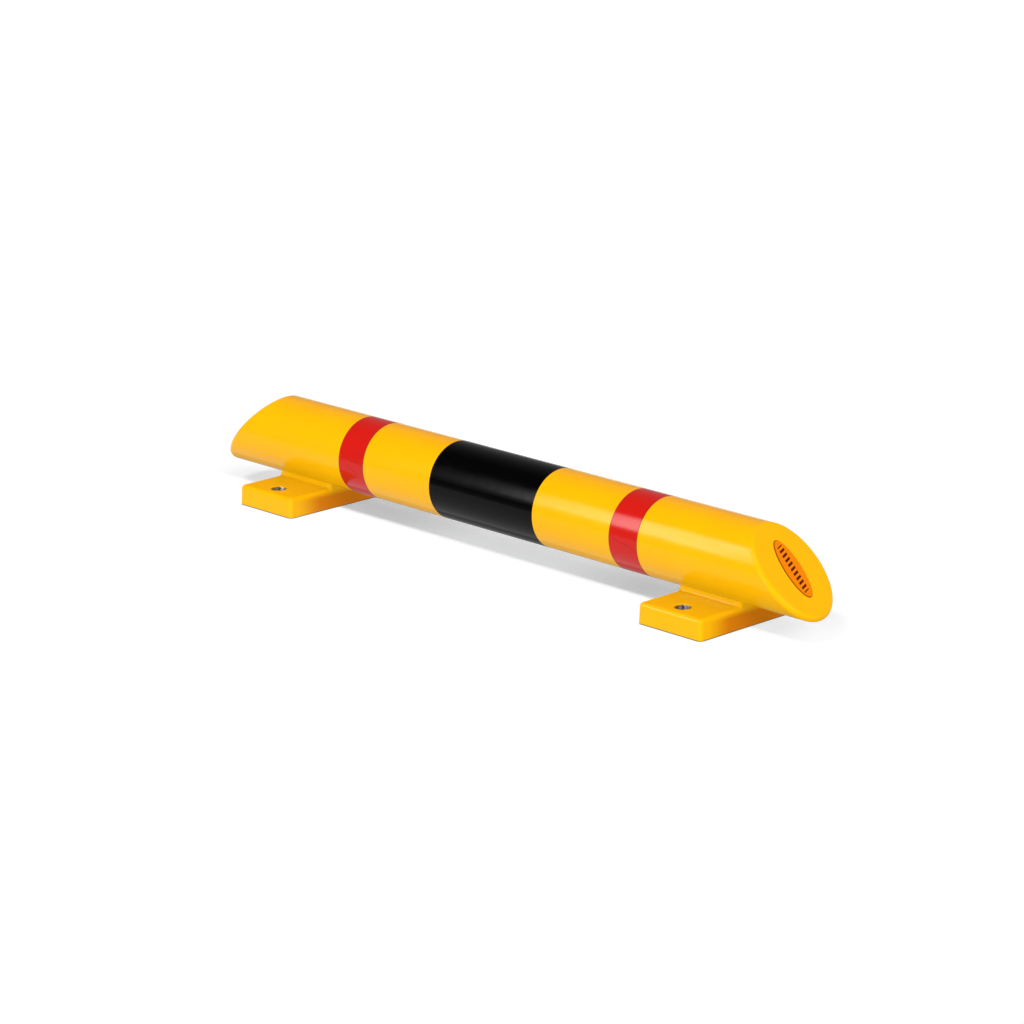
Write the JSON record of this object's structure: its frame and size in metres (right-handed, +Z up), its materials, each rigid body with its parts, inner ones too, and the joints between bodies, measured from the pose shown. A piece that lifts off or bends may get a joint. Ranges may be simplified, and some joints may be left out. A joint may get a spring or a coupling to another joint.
{
  "type": "crash protection bar",
  "caption": "Round moulded crash protection bar with slanted ends and coloured warning bands, raised just off the floor on bolt-down feet with steel-sleeved anchor holes.",
  "frame": {"origin": "on the floor, below the middle of the bar", "axes": "+X along the bar towards the end face with the badge, -Y towards the front, +Z up from the floor"},
  "size_m": [1.015, 0.1886, 0.1258],
  "materials": {
    "yellow_moulding": "satin gloss traffic yellow",
    "sleeve_steel": "bright zinc-plated, turned",
    "black_film": "glossy self-adhesive film",
    "red_film": "glossy self-adhesive film with faint creases",
    "badge_orange": "semi-gloss label with a dark rim and plain bars"
  },
  "bodies": {
    "root": {"bar_body": "yellow_moulding", "anchor_sleeve_front_left": "sleeve_steel", "anchor_sleeve_rear_left": "sleeve_steel", "anchor_sleeve_front_right": "sleeve_steel", "anchor_sleeve_rear_right": "sleeve_steel", "black_band": "black_film", "red_band_left": "red_film", "red_band_right": "red_film", "end_badge": "badge_orange"}
  },
  "joints": []
}
